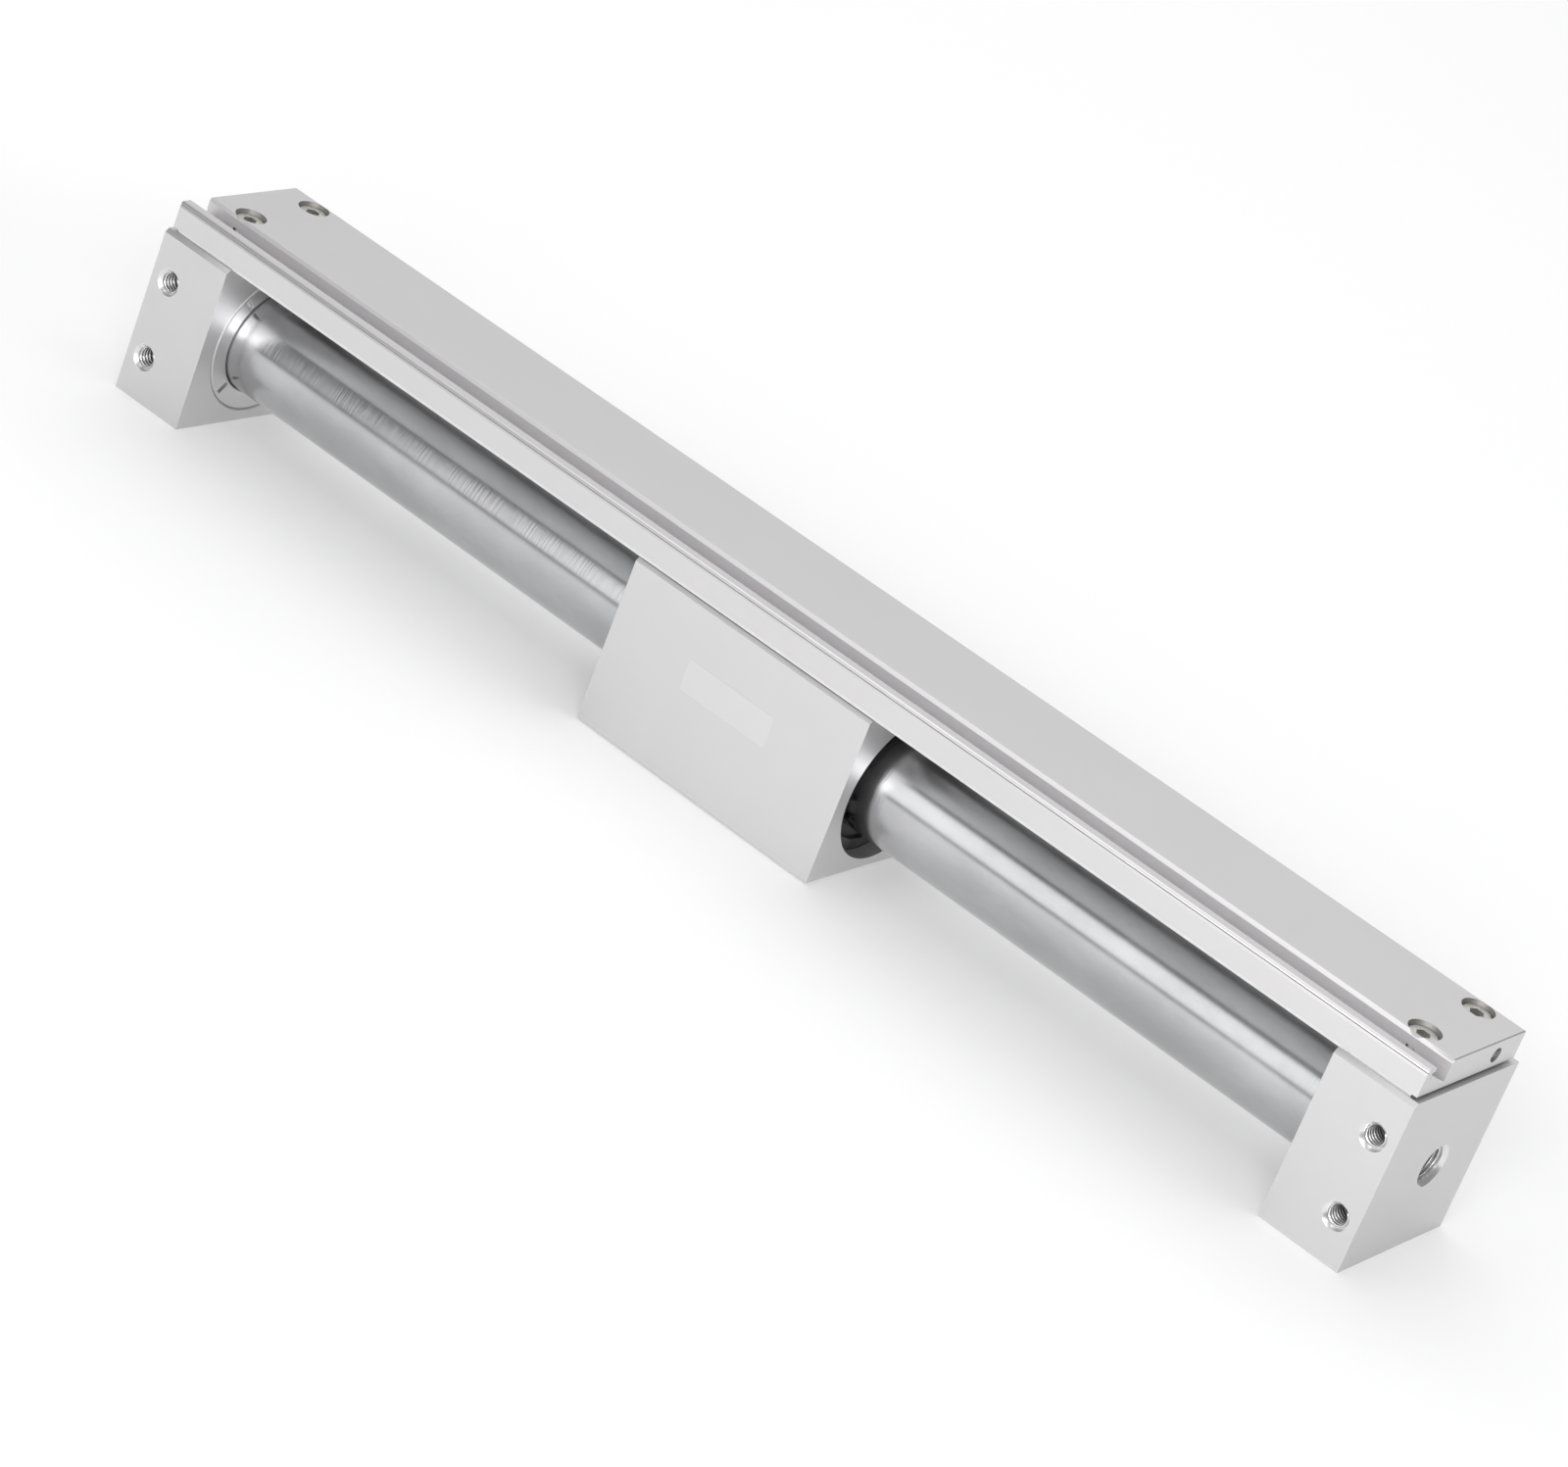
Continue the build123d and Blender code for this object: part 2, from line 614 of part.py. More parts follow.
# Pistons with their spacer, wear ring, seal, bumper and nut, one set at each end of the shaft
wear_start = stack_half + piston_wear_ring_from_stack
wear_end = wear_start + piston_wear_ring_width
seal_end = piston_face - piston_seal_from_face
seal_start = seal_end - piston_seal_width
nut_start = piston_face - nut_recess_depth
packing_r = tube_bore_r - running_gap
wear_floor_r = packing_r - piston_wear_ring_section
seal_floor_r = packing_r - piston_seal_section
for side_name, side in sides.items():
    with BuildPart() as piston_spacer:
        spacer_section = ring_section(
            slider_rest + side * stack_half,
            slider_rest + side * piston_start,
            shaft_r + seat_gap,
            piston_spacer_r,
        )
        revolve(spacer_section, axis=tube_axis)
    save(piston_spacer, f"piston_spacer_{side_name}")

    with BuildPart() as piston:
        # Outline from the shaft bore over the two grooves to the face with the bumper seat and nut recess
        piston_steps = (
            (piston_start, shaft_r + seat_gap),
            (piston_start, piston_r),
            (wear_start - groove_gap, piston_r),
            (wear_start - groove_gap, wear_floor_r - groove_gap),
            (wear_end + groove_gap, wear_floor_r - groove_gap),
            (wear_end + groove_gap, piston_r),
            (seal_start - groove_gap, piston_r),
            (seal_start - groove_gap, seal_floor_r - groove_gap),
            (seal_end + groove_gap, seal_floor_r - groove_gap),
            (seal_end + groove_gap, piston_r),
            (piston_face, piston_r),
            (piston_face, bumper_outer_r + seat_gap),
            (piston_face - bumper_seat, bumper_outer_r + seat_gap),
            (piston_face - bumper_seat, bumper_inner_r - seat_gap),
            (piston_face, bumper_inner_r - seat_gap),
            (piston_face, nut_recess_r),
            (nut_start, nut_recess_r),
            (nut_start, shaft_r + seat_gap),
        )
        with BuildSketch(axial):
            with BuildLine():
                Polyline(
                    *[(slider_rest + side * station, radius) for station, radius in piston_steps],
                    close=True,
                )
            make_face()
        revolve(axis=tube_axis)
    save(piston, f"piston_{side_name}")

    with BuildPart() as piston_wear_ring:
        wear_section = ring_section(
            slider_rest + side * wear_start,
            slider_rest + side * wear_end,
            wear_floor_r,
            packing_r,
        )
        revolve(wear_section, axis=tube_axis)
    save(piston_wear_ring, f"piston_wear_ring_{side_name}")

    with BuildPart() as piston_seal:
        seal_section = ring_section(
            slider_rest + side * seal_start,
            slider_rest + side * seal_end,
            seal_floor_r,
            packing_r,
        )
        revolve(seal_section, axis=tube_axis)
    save(piston_seal, f"piston_seal_{side_name}")

    with BuildPart() as bumper:
        bumper_section = ring_section(
            slider_rest + side * (piston_face - bumper_seat),
            slider_rest + side * piston_half,
            bumper_inner_r,
            bumper_outer_r,
        )
        revolve(bumper_section, axis=tube_axis)
    save(bumper, f"bumper_{side_name}")

    with BuildPart() as piston_nut:
        with BuildSketch(cross_plane(slider_rest + side * nut_start)):
            RegularPolygon(nut_size / 2, 6, major_radius=False)
            Circle(shaft_r + seat_gap, mode=Mode.SUBTRACT)
        extrude(amount=side * nut_height)
    save(piston_nut, f"piston_nut_{side_name}")
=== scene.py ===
import bmesh
import bpy
import json
from math import radians, tau
from mathutils import Matrix, Vector


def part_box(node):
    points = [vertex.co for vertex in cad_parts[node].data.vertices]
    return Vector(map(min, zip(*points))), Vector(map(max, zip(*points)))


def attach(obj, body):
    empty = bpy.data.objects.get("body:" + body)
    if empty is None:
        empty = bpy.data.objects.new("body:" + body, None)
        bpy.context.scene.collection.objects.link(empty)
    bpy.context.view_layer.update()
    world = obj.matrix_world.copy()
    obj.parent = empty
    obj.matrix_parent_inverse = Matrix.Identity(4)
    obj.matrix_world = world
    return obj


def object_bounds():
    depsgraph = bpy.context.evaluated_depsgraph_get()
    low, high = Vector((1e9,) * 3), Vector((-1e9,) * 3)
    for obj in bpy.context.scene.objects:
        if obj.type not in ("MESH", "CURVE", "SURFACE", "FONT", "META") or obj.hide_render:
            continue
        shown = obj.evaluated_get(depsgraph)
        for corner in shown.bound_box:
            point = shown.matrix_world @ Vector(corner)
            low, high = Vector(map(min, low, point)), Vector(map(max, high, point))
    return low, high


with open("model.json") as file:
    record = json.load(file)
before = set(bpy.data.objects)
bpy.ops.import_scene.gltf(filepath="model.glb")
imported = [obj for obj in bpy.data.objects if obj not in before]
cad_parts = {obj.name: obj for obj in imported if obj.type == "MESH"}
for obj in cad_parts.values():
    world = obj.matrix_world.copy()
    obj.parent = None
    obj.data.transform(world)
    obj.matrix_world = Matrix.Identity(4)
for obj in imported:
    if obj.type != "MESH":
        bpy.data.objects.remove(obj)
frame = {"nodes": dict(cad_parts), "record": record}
cad_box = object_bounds()

# Rodless cylinder with a switch rail. All sizes are in metres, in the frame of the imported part:
# X along the tube, Y from the front to the back and Z up.
MM = 0.001
ALONG, INWARD, UP = Vector((1, 0, 0)), Vector((0, 1, 0)), Vector((0, 0, 1))
mounts = {mount["name"]: mount for mount in frame["record"]["mounts"]}


# Materials

# Scales of the noises, in cells per metre
ANODISED_CLOUDS, ANODISED_RUB, ANODISED_GRAIN = 38, 150, 2600
TUBE_CLOUDS, TUBE_SPECKLE, TUBE_STREAKS, TUBE_RINGS = 70, 1800, 2200, 5000
STEEL_PATCHES, STEEL_GRAIN = 420, 1500
LABEL_FIBRES = 900
ANODISED_METALLIC = 0.92

# Directions of a grain: how much longer its cells are along X, Y and Z
EVEN = (1, 1, 1)
EXTRUDED = (60, 1, 1)
TURNED = (1, 4, 4)
RINGED = (1, 40, 40)

# Sockets of the Mix node in its colour mode
MIX_SHARE, MIX_FIRST, MIX_SECOND, MIX_RESULT = 0, 6, 7, 2


class Flow:
    """A value that runs through a material's nodes. Operators add the Math nodes."""

    def __init__(self, finish, socket):
        self.finish = finish
        self.socket = socket

    def math(self, operation, *values):
        return self.finish.node("ShaderNodeMath", {"operation": operation}, dict(enumerate(values)))

    def __add__(self, other):
        return self.math("ADD", self, other)

    def __sub__(self, other):
        return self.math("SUBTRACT", self, other)

    def __mul__(self, other):
        return self.math("MULTIPLY", self, other)

    def __lt__(self, other):
        return self.math("LESS_THAN", self, other)

    def __gt__(self, other):
        return self.math("GREATER_THAN", self, other)

    __radd__ = __add__

    def between(self, low, high):
        """0 below low, 1 above high, and a soft step between them."""
        settings = {"interpolation_type": "SMOOTHSTEP"}
        sockets = {"Value": self, "From Min": low, "From Max": high}
        return self.finish.node("ShaderNodeMapRange", settings, sockets)


class Finish:
    """One material: a Principled shader and the nodes that vary it over the surface."""

    def __init__(self, name, **constants):
        self.material = bpy.data.materials.new(name)
        self.material.use_nodes = True
        self.tree = self.material.node_tree
        self.tree.nodes.clear()
        self.shader = self.tree.nodes.new("ShaderNodeBsdfPrincipled")
        output = self.tree.nodes.new("ShaderNodeOutputMaterial")
        self.tree.links.new(self.shader.outputs["BSDF"], output.inputs["Surface"])
        for socket_name, value in constants.items():
            self.shader.inputs[socket_name.replace("_", " ").title()].default_value = value
        self.place = self.node("ShaderNodeTexCoord", {}, {}, "Object")

    def node(self, kind, settings, sockets, output=0):
        made = self.tree.nodes.new(kind)
        for setting, value in settings.items():
            setattr(made, setting, value)
        for key, value in sockets.items():
            self.feed(made.inputs[key], value)
        return Flow(self, made.outputs[output])

    def feed(self, socket, value):
        if isinstance(value, Flow):
            self.tree.links.new(value.socket, socket)
        else:
            socket.default_value = value

    def noise(self, scale, stretch=EVEN, detail=2.0, roughness=0.5):
        """Noise between 0 and 1. The scale is in cells per metre, and stretch makes them longer."""
        scales = tuple(scale / share for share in stretch)
        spread = self.node("ShaderNodeMapping", {}, {"Vector": self.place, "Scale": scales})
        sockets = {"Vector": spread, "Scale": 1.0, "Detail": detail, "Roughness": roughness}
        return self.node("ShaderNodeTexNoise", {"noise_dimensions": "3D"}, sockets)

    def along(self, axis):
        """The place along X, Y or Z."""
        return self.node("ShaderNodeSeparateXYZ", {}, {"Vector": self.place}, axis)

    def bore(self, centre, axis, radius, fade=None):
        """1 on the wall of a round hole whose axis runs through its centre, 0 elsewhere.

        With a fade, two places on the axis, the mask rises from 0 to 1 between them.
        """
        across = [0.0 if letter == axis else 1.0 for letter in "XYZ"]
        shift = [-place * share for place, share in zip(centre, across)]
        sockets = {"Vector": self.place, "Location": shift, "Scale": across}
        flat = self.node("ShaderNodeMapping", {}, sockets)
        reach = self.node("ShaderNodeVectorMath", {"operation": "LENGTH"}, {0: flat}, "Value")
        inside = reach < radius
        return inside * self.along(axis).between(*fade) if fade else inside

    def strip(self, y_low, y_high, z_low, z_high):
        """1 on a strip along X, inside a range of Y and a range of Z, 0 elsewhere."""
        y, z = self.along("Y"), self.along("Z")
        return (y > y_low) * (y < y_high) * (z > z_low) * (z < z_high)

    def mix(self, share, first, second):
        """The first colour where share is 0 and the second where it is 1."""
        sockets = {MIX_SHARE: share}
        for key, value in {MIX_FIRST: first, MIX_SECOND: second}.items():
            sockets[key] = value if isinstance(value, Flow) else (*value, 1.0)
        return self.node("ShaderNodeMix", {"data_type": "RGBA"}, sockets, MIX_RESULT)

    def colour(self, flow):
        self.feed(self.shader.inputs["Base Color"], flow)

    def roughness(self, flow):
        self.feed(self.shader.inputs["Roughness"], flow)

    def bump(self, height, distance):
        """Surface relief, with its height in metres."""
        sockets = {"Height": height, "Distance": distance, "Strength": 1.0}
        self.feed(self.shader.inputs["Normal"], self.node("ShaderNodeBump", {}, sockets))


def grey(tone):
    return (tone, tone, tone)


def anodised_aluminium(
    name, light, dark, gloss=0.42, grain_stretch=EVEN, grain_depth=0.004 * MM, bores=(), strips=()
):
    """Clear anodised aluminium: satin, with fine grain, faint clouds and slight rubbing.

    Each bore or strip is a place and a look: its colour and what it adds to the roughness.
    """
    finish = Finish(name, metallic=ANODISED_METALLIC, roughness=gloss)
    clouds = finish.noise(ANODISED_CLOUDS, detail=3)
    grain = finish.noise(ANODISED_GRAIN, grain_stretch)
    rub = finish.noise(ANODISED_RUB, (3, 1, 1), detail=5, roughness=0.65).between(0.60, 0.78)
    tone = finish.mix(clouds * 0.75 + grain * 0.25, dark, light)
    rough = gloss + grain * 0.07 - rub * 0.05
    zones = [(finish.bore(*place), *look) for place, look in bores]
    zones += [(finish.strip(*place), *look) for place, look in strips]
    for zone, zone_colour, added_roughness in zones:
        tone = finish.mix(zone, tone, zone_colour)
        rough = rough + zone * added_roughness
    finish.colour(tone)
    finish.roughness(rough)
    finish.bump(grain, grain_depth)
    return finish.material


def drawn_stainless(name):
    """Ground stainless tube: faint rings blur its bands lengthwise, over clouds and streaks."""
    finish = Finish(name, metallic=1.0)
    clouds = finish.noise(TUBE_CLOUDS, (2.2, 1, 1), detail=4, roughness=0.6)
    streaks = finish.noise(TUBE_STREAKS, EXTRUDED)
    rings = finish.noise(TUBE_RINGS, RINGED, detail=0)
    speckle = finish.noise(TUBE_SPECKLE, detail=3, roughness=0.7)
    shade = clouds.between(0.3, 0.72) * 0.55 + streaks * 0.15 + speckle * 0.3
    finish.colour(finish.mix(shade, (0.44, 0.443, 0.45), (0.61, 0.613, 0.62)))
    finish.roughness(0.15 + clouds * 0.08 + streaks * 0.02)
    finish.bump(rings, 0.014 * MM)
    return finish.material


def plated_steel(name, light, dark, gloss):
    """Plated or ground metal: small patches of tone and a fine grain."""
    finish = Finish(name, metallic=1.0, roughness=gloss)
    patches = finish.noise(STEEL_PATCHES, detail=4, roughness=0.65)
    finish.colour(finish.mix(patches.between(0.32, 0.68), dark, light))
    finish.roughness(gloss + patches * 0.14 - 0.07)
    finish.bump(finish.noise(STEEL_GRAIN), 0.006 * MM)
    return finish.material


def moulded(name, light, dark, gloss, grain_scale, grain_depth):
    """Rubber, plastic or felt: matt, with its own grain."""
    finish = Finish(name, metallic=0.0, roughness=gloss)
    grain = finish.noise(grain_scale, detail=5, roughness=0.7)
    finish.colour(finish.mix(grain, dark, light))
    finish.roughness(gloss + grain * 0.12)
    finish.bump(grain, grain_depth)
    return finish.material


def hole_grid(mount):
    """The hole centres of a bolt pattern on the front or the back."""
    centre = Vector(mount["pos_m"])
    half_x = mount["dims"]["spacing_x_mm"] * MM / 2
    half_z = mount["dims"]["spacing_y_mm"] * MM / 2
    return [centre + ALONG * (half_x * i) + UP * (half_z * j) for i in (-1, 1) for j in (-1, 1)]


# Looks of single spots: a colour and what it adds to the roughness
CUT_THREAD = ((0.80, 0.795, 0.80), -0.14)
# Painted shade deep in the mounting holes: a dark grey on their threads and walls
DEEP_THREAD_PAINTED_SHADE = (grey(0.22), 0.10)
# Painted shade in the rail's screw counterbores: a dark grey on their walls
COUNTERBORE_PAINTED_SHADE = ((0.36, 0.355, 0.34), 0.15)
# Painted shade in the mouth of the plugged passage hole: a dark grey
PLUG_HOLE_PAINTED_SHADE = (grey(0.28), 0.3)
# Painted shade in the groove under the lip's bead: a dark grey line
GROOVE_PAINTED_SHADE = (grey(0.45), 0.2)
# Painted highlight on the sloped front edge of the deck: a lighter strip
DECK_EDGE_PAINTED_HIGHLIGHT = ((0.80, 0.79, 0.795), -0.04)

# Radii that take in a bore's wall and the edge of its mouth
MOUNT_MOUTH = 3.35 * MM
PORT_MOUTH = 5.25 * MM
COUNTERBORE = 3.85 * MM
PLUG_GAP = 0.05 * MM
SCREW_HEAD = 3.5 * MM

# The mounting holes get painted shade, darker between these depths
DARK_FROM, DARK_TO = 3.6 * MM, 6.4 * MM

plate_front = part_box("end_plate_right")[0].y
plate_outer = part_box("end_plate_right")[1].x
mount_centres = hole_grid(mounts["body_mounting_holes"])
mount_fade = (plate_front + DARK_FROM, plate_front + DARK_TO)
deep_painted_shade_bores = [((place, "Y", MOUNT_MOUTH, mount_fade), DEEP_THREAD_PAINTED_SHADE) for place in mount_centres]
plate_bores = [((place, "Y", MOUNT_MOUTH), CUT_THREAD) for place in mount_centres] + deep_painted_shade_bores
plate_bores.append(((mounts["port_right"]["pos_m"], "X", PORT_MOUTH), CUT_THREAD))

screws_low, screws_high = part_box("rail_screws")
# The rail's counterbores and the plugged passage hole get painted shade
rail_bores = [
    (((x, y, 0), "Z", COUNTERBORE), COUNTERBORE_PAINTED_SHADE)
    for x in (screws_low.x + SCREW_HEAD, screws_high.x - SCREW_HEAD)
    for y in (screws_low.y + SCREW_HEAD, screws_high.y - SCREW_HEAD)
]
plugs_low, plugs_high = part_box("passage_plugs")
plug_centre = (plugs_low + plugs_high) / 2
plug_radius = (plugs_high.y - plugs_low.y) / 2
rail_bores.append(((plug_centre, "X", plug_radius + PLUG_GAP), PLUG_HOLE_PAINTED_SHADE))

# The groove under the lip's bead, painted with shade, and the sloped edge of the deck, painted with
# a highlight:
# near and far behind the rail's front, then low and high against its top
BEAD_GROOVE = (0.15 * MM, 0.55 * MM, -1.10 * MM, -0.78 * MM)
DECK_EDGE = (9.75 * MM, 10.32 * MM, -0.89 * MM, 0.05 * MM)
rail_low, rail_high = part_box("switch_rail")
rail_strips = [
    ((rail_low.y + near, rail_low.y + far, rail_high.z + low, rail_high.z + high), look)
    for (near, far, low, high), look in ((BEAD_GROOVE, GROOVE_PAINTED_SHADE), (DECK_EDGE, DECK_EDGE_PAINTED_HIGHLIGHT))
]

# One finish for each material of the CAD
finishes = {
    "plate_aluminium": anodised_aluminium(
        "plate_anodised", (0.680, 0.673, 0.678), (0.640, 0.633, 0.638), bores=plate_bores
    ),
    "slider_aluminium": anodised_aluminium(
        "slider_anodised", (0.695, 0.688, 0.693), (0.655, 0.648, 0.653)
    ),
    "rail_aluminium": anodised_aluminium(
        "rail_anodised",
        (0.700, 0.691, 0.697),
        (0.660, 0.651, 0.657),
        grain_stretch=EXTRUDED,
        bores=rail_bores,
        strips=rail_strips,
    ),
    "ring_aluminium": anodised_aluminium(
        "ring_anodised",
        (0.670, 0.663, 0.668),
        (0.610, 0.603, 0.608),
        gloss=0.34,
        grain_stretch=TURNED,
        grain_depth=0.006 * MM,
    ),
    "tube_stainless": drawn_stainless("tube_drawn_stainless"),
}
# Bare cut metal for the threads, with painted shade deep in the mounting holes
thread_finish = anodised_aluminium(
    "thread_cut",
    (0.80, 0.795, 0.80),
    (0.74, 0.735, 0.74),
    gloss=0.28,
    grain_depth=0.002 * MM,
    bores=deep_painted_shade_bores,
)

# Plated metals: material in the CAD, name, light and dark tones and roughness
METALS = (
    ("spring_steel", "clip_phosphated_steel", (0.16, 0.155, 0.15), grey(0.09), 0.42),
    ("screw_steel", "screw_zinc_plated", (0.72, 0.715, 0.685), (0.60, 0.595, 0.565), 0.36),
    ("ball_steel", "ball_hardened_steel", grey(0.34), grey(0.28), 0.55),
    ("shield_steel", "shield_rolled_steel", grey(0.80), grey(0.74), 0.30),
    ("shaft_stainless", "shaft_ground_stainless", grey(0.62), grey(0.52), 0.22),
    ("yoke_steel", "yoke_plated_steel", grey(0.46), grey(0.36), 0.38),
    ("spacer_steel", "spacer_nickel_plated", (0.55, 0.54, 0.52), (0.44, 0.43, 0.41), 0.33),
    ("magnet_nickel", "magnet_nickel_plated", (0.66, 0.65, 0.61), (0.56, 0.55, 0.51), 0.24),
    ("piston_aluminium", "piston_chromated", (0.66, 0.65, 0.58), (0.56, 0.55, 0.48), 0.36),
)
for cad_material, *recipe in METALS:
    finishes[cad_material] = plated_steel(*recipe)

# Mouldings: material in the CAD, name, light and dark tones, roughness, grain scale and depth
BLUE, DARK_BLUE = (0.06, 0.10, 0.16), (0.04, 0.07, 0.12)
BROWN, DARK_BROWN = (0.20, 0.13, 0.08), (0.14, 0.09, 0.05)
FELT, DARK_FELT = (0.30, 0.28, 0.24), (0.16, 0.15, 0.13)
MOULDINGS = (
    ("seal_rubber", "seal_nitrile", grey(0.035), grey(0.02), 0.5, 1800, 0.01 * MM),
    ("scraper_rubber", "scraper_nitrile", (0.05, 0.05, 0.052), grey(0.03), 0.46, 1800, 0.01 * MM),
    ("bumper_urethane", "bumper_urethane_blue", BLUE, DARK_BLUE, 0.4, 1200, 0.01 * MM),
    ("wear_plastic", "wear_ring_brown", BROWN, DARK_BROWN, 0.5, 1500, 0.01 * MM),
    ("felt", "felt_oiled", FELT, DARK_FELT, 0.8, 3500, 0.08 * MM),
)
for cad_material, *recipe in MOULDINGS:
    finishes[cad_material] = moulded(*recipe)

for node in frame["nodes"].values():
    for seat in node.material_slots:
        seat.material = finishes[seat.material.name.split(".")[0]]


# Softened edges on the machined pieces: the width of each edge and its segments
SOFT_EDGES = {
    "end_plate_left": (0.35 * MM, 3),
    "end_plate_right": (0.35 * MM, 3),
    "slider_block": (0.35 * MM, 3),
    "attachment_ring_left": (0.12 * MM, 2),
    "attachment_ring_right": (0.12 * MM, 2),
    "rail_screws": (0.12 * MM, 2),
    "switch_rail": (0.1 * MM, 2),
}
WELD_REACH = 0.002 * MM
SHARP_ANGLE = radians(35)
for name, (width, segments) in SOFT_EDGES.items():
    weld = frame["nodes"][name].modifiers.new("join_faces", "WELD")
    weld.merge_threshold = WELD_REACH
    edge = frame["nodes"][name].modifiers.new("soft_edges", "BEVEL")
    edge.width = width
    edge.segments = segments
    edge.limit_method = "ANGLE"
    edge.angle_limit = SHARP_ANGLE
    edge.harden_normals = True
    edge.use_clamp_overlap = True


# New pieces

def placed_object(name, shape, finish):
    """Turns a bmesh into an object in the scene."""
    mesh = bpy.data.meshes.new(name)
    shape.to_mesh(mesh)
    shape.free()
    mesh.materials.append(finish)
    placed = bpy.data.objects.new(name, mesh)
    bpy.context.scene.collection.objects.link(placed)
    return placed


def riding_piece(name, mesh_maker, body, finish, smooth=True):
    """A new piece that moves with a body."""
    shape = bmesh.new()
    mesh_maker(shape)
    bmesh.ops.recalc_face_normals(shape, faces=shape.faces)
    for face in shape.faces:
        face.smooth = smooth
    piece = placed_object(name, shape, finish)
    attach(piece, body)


# Threads: where they start below the mouth, how far they reach, their pitch and their height
MOUNT_THREAD = {"start": 0.5 * MM, "length": 12 * MM, "pitch": 1.0 * MM, "height": 0.42 * MM}
PORT_THREAD = {"start": 0.7 * MM, "length": 7.4 * MM, "pitch": 0.907 * MM, "height": 0.5 * MM}
LOAD_THREAD = {"start": 0.15 * MM, "length": 6.4 * MM, "pitch": 0.8 * MM, "height": 0.35 * MM}
STEPS_PER_TURN = 28
ROOT_SINK = 0.03 * MM
# Half the foot of a thread's ridge, as a share of the pitch
HALF_FOOT = 0.42


def thread(shape, mouth, axis, radius, start, length, pitch, height):
    """A helical ridge on the wall of a hole, from its mouth along its axis."""
    base = mouth + axis * start
    side = axis.orthogonal().normalized()
    root, crest = side * (radius + ROOT_SINK), side * (radius - height)
    corners = (
        base + axis * ((0.5 - HALF_FOOT) * pitch) + root,
        base + axis * (0.5 * pitch) + crest,
        base + axis * ((0.5 + HALF_FOOT) * pitch) + root,
    )
    ridge = shape.faces.new([shape.verts.new(corner) for corner in corners])
    steps = round(length / pitch * STEPS_PER_TURN)
    bmesh.ops.spin(
        shape,
        geom=[ridge],
        cent=base,
        axis=axis,
        dvec=axis * ((length - pitch) / steps),
        angle=tau * (length - pitch) / pitch,
        steps=steps,
    )


def mount_threads(shape, side):
    radius = mounts["body_mounting_holes"]["dims"]["hole_r_mm"] * MM
    for place in mount_centres:
        if place.x * side > 0:
            mouth = Vector((place.x, plate_front, place.z))
            thread(shape, mouth, INWARD, radius, **MOUNT_THREAD)


def port_thread(shape, side):
    port = mounts["port_left" if side < 0 else "port_right"]
    mouth = Vector((side * plate_outer, port["pos_m"][1], port["pos_m"][2]))
    thread(shape, mouth, ALONG * -side, port["dims"]["r_mm"] * MM, **PORT_THREAD)


def load_threads(shape):
    mount = mounts["slider_load_holes"]
    for place in hole_grid(mount):
        mouth = Vector((place.x, slider_high.y, place.z))
        thread(shape, mouth, -INWARD, mount["dims"]["hole_r_mm"] * MM, **LOAD_THREAD)


slider_low, slider_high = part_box("slider_block")
for side_name, side in {"left": -1, "right": 1}.items():
    for kind, maker in {"mount_threads": mount_threads, "port_thread": port_thread}.items():
        riding_piece(
            f"{kind}_{side_name}",
            lambda shape: maker(shape, side),
            "cylinder_body",
            thread_finish,
        )
riding_piece("load_threads", load_threads, "slider", thread_finish)

# Blank label on the front of the slider, placed from the slider's lower left corner
LABEL_OFFSET = Vector((22.2 * MM, 0, 20.9 * MM))
LABEL_SIZE = Vector((25.5 * MM, 0.05 * MM, 7.7 * MM))
LABEL_CORNER = 0.9 * MM
LABEL_CORNER_STEPS = 6


def label_film(shape):
    thickness = LABEL_SIZE.y
    bmesh.ops.create_cube(shape, size=1)
    bmesh.ops.scale(shape, vec=LABEL_SIZE, verts=shape.verts)
    corners = [
        edge for edge in shape.edges
        if abs(edge.verts[0].co.y - edge.verts[1].co.y) > thickness / 2
    ]
    bmesh.ops.bevel(
        shape,
        geom=corners,
        offset=LABEL_CORNER,
        offset_type="OFFSET",
        affect="EDGES",
        segments=LABEL_CORNER_STEPS,
        profile=0.5,
        material=-1,
    )
    middle = slider_low + LABEL_OFFSET + LABEL_SIZE / 2 - INWARD * thickness
    bmesh.ops.translate(shape, vec=middle, verts=shape.verts)


label_finish = Finish("blank_label_film", metallic=ANODISED_METALLIC, roughness=0.42)
fibres = label_finish.noise(LABEL_FIBRES, detail=4)
label_finish.colour(label_finish.mix(fibres, (0.690, 0.689, 0.694), (0.715, 0.715, 0.720)))
label_finish.roughness(0.38 + fibres * 0.1)
label_finish.bump(fibres, 0.004 * MM)
riding_piece(
    "blank_label", label_film, "slider", label_finish.material, smooth=False
)


# Stage: a pale floor that glows less near the part, a soft surround and broad lamps

FLOOR_SIZE = 12.0
FLOOR_DROP = 0.02 * MM
FLOOR_TONE = grey(0.75)
FLOOR_GLOW = 0.29
GLOW_NEAR, GLOW_AWAY = grey(0.70), grey(1.0)
# Half axes of the oval that glows less, and the soft edge of it, in squares of its radius
OVAL_X, OVAL_Y = 0.20, 0.08
OVAL_FADE = (1.0, 3.5)
SURROUND = (0.80, 0.80, 0.81)
SURROUND_STRENGTH = 0.30

floor_finish = Finish(
    "studio_floor_pale", roughness=0.9, emission_strength=FLOOR_GLOW, base_color=(*FLOOR_TONE, 1)
)
floor_x, floor_y = floor_finish.along("X"), floor_finish.along("Y")
oval = floor_x * floor_x * (1 / OVAL_X ** 2) + floor_y * floor_y * (1 / OVAL_Y ** 2)
glow = floor_finish.mix(oval.between(*OVAL_FADE), GLOW_NEAR, GLOW_AWAY)
floor_finish.feed(floor_finish.shader.inputs["Emission Color"], glow)

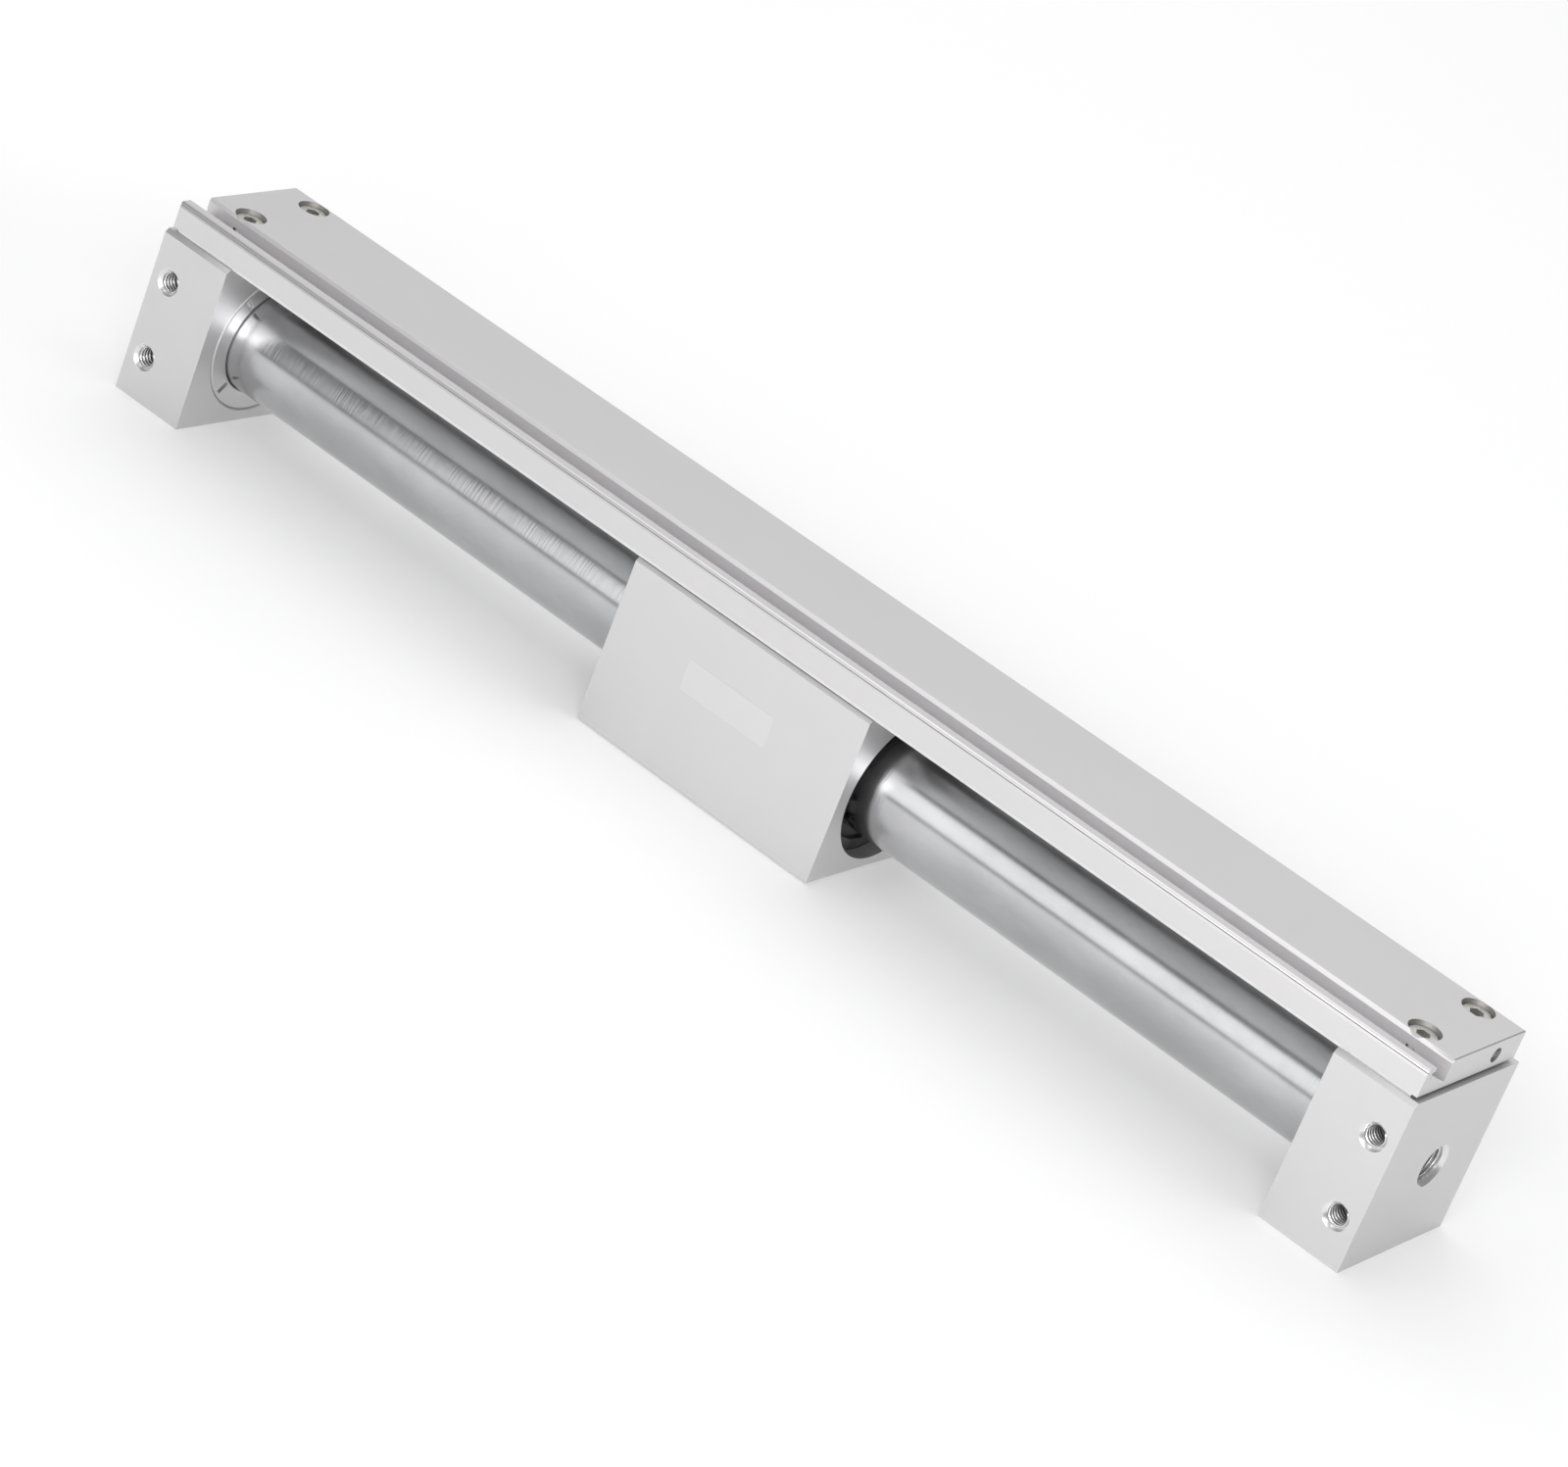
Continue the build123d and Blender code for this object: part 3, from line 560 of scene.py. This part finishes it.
floor_shape = bmesh.new()
bmesh.ops.create_grid(floor_shape, x_segments=1, y_segments=1, size=FLOOR_SIZE / 2)
floor_height = UP * (cad_box[0][2] - FLOOR_DROP)
bmesh.ops.translate(floor_shape, vec=floor_height, verts=floor_shape.verts)
floor = placed_object("studio_floor", floor_shape, floor_finish.material)

world = bpy.data.worlds.new("studio_surround")
world.use_nodes = True
world.node_tree.nodes["Background"].inputs["Color"].default_value = (*SURROUND, 1)
world.node_tree.nodes["Background"].inputs["Strength"].default_value = SURROUND_STRENGTH
bpy.context.scene.world = world

# Lamp boxes: name, place, aim, width, height and power in watts
LAMPS = (
    ("front_right_box", (0.5, -0.85, 0.55), (0.1, 0, 0), 0.6, 0.6, 4.08),
    ("front_left_box", (-0.42, -1.05, 0.46), (0, 0, 0.02), 0.62, 0.70, 1.74),
    ("front_low_box", (0.4, -1.0, 0.26), (0.05, 0, 0.02), 0.7, 0.35, 4.64),
    ("top_box", (-0.2, 0.35, 1.4), (-0.1, 0.2, 0), 2.0, 1.9, 16.8),
    ("back_left_box", (-0.7, 1.1, 0.6), (0, 0, 0), 1.6, 0.8, 1.87),
)
for name, place, target, width, height, power in LAMPS:
    light = bpy.data.lights.new(name, "AREA")
    light.shape = "RECTANGLE"
    light.size = width
    light.size_y = height
    light.energy = power
    lamp = bpy.data.objects.new(name, light)
    bpy.context.scene.collection.objects.link(lamp)
    lamp.location = place
    aim = Vector(target) - Vector(place)
    lamp.rotation_euler = aim.to_track_quat("-Z", "Y").to_euler()


# Camera: the photograph's viewpoint, fitted to the plates, the rail and the slider

PHOTO_WIDTH = 1600
CAMERA_PLACE = Vector((0.535358, -0.919025, 0.512655))
CAMERA_RIGHT = Vector((0.727080, 0.599619, 0.334384))
CAMERA_FORWARD = Vector((-0.452238, 0.784742, -0.423863))
CAMERA_FOCAL_PIXELS = 5398.87
CAMERA_REACH = 50.0
SENSOR_WIDTH = 36.0

camera_data = bpy.data.cameras.new("photo_camera")
camera_data.sensor_width = SENSOR_WIDTH
camera_data.lens = CAMERA_FOCAL_PIXELS / PHOTO_WIDTH * SENSOR_WIDTH
camera_data.clip_end = CAMERA_REACH
camera = bpy.data.objects.new("photo_camera", camera_data)
bpy.context.scene.collection.objects.link(camera)
forward = CAMERA_FORWARD.normalized()
right = (CAMERA_RIGHT - forward * CAMERA_RIGHT.dot(forward)).normalized()
turn = Matrix((right, right.cross(forward), -forward)).transposed()
camera.matrix_world = Matrix.Translation(CAMERA_PLACE) @ turn.to_4x4()
bpy.context.scene.camera = camera
bpy.context.scene.view_settings.view_transform = "Standard"
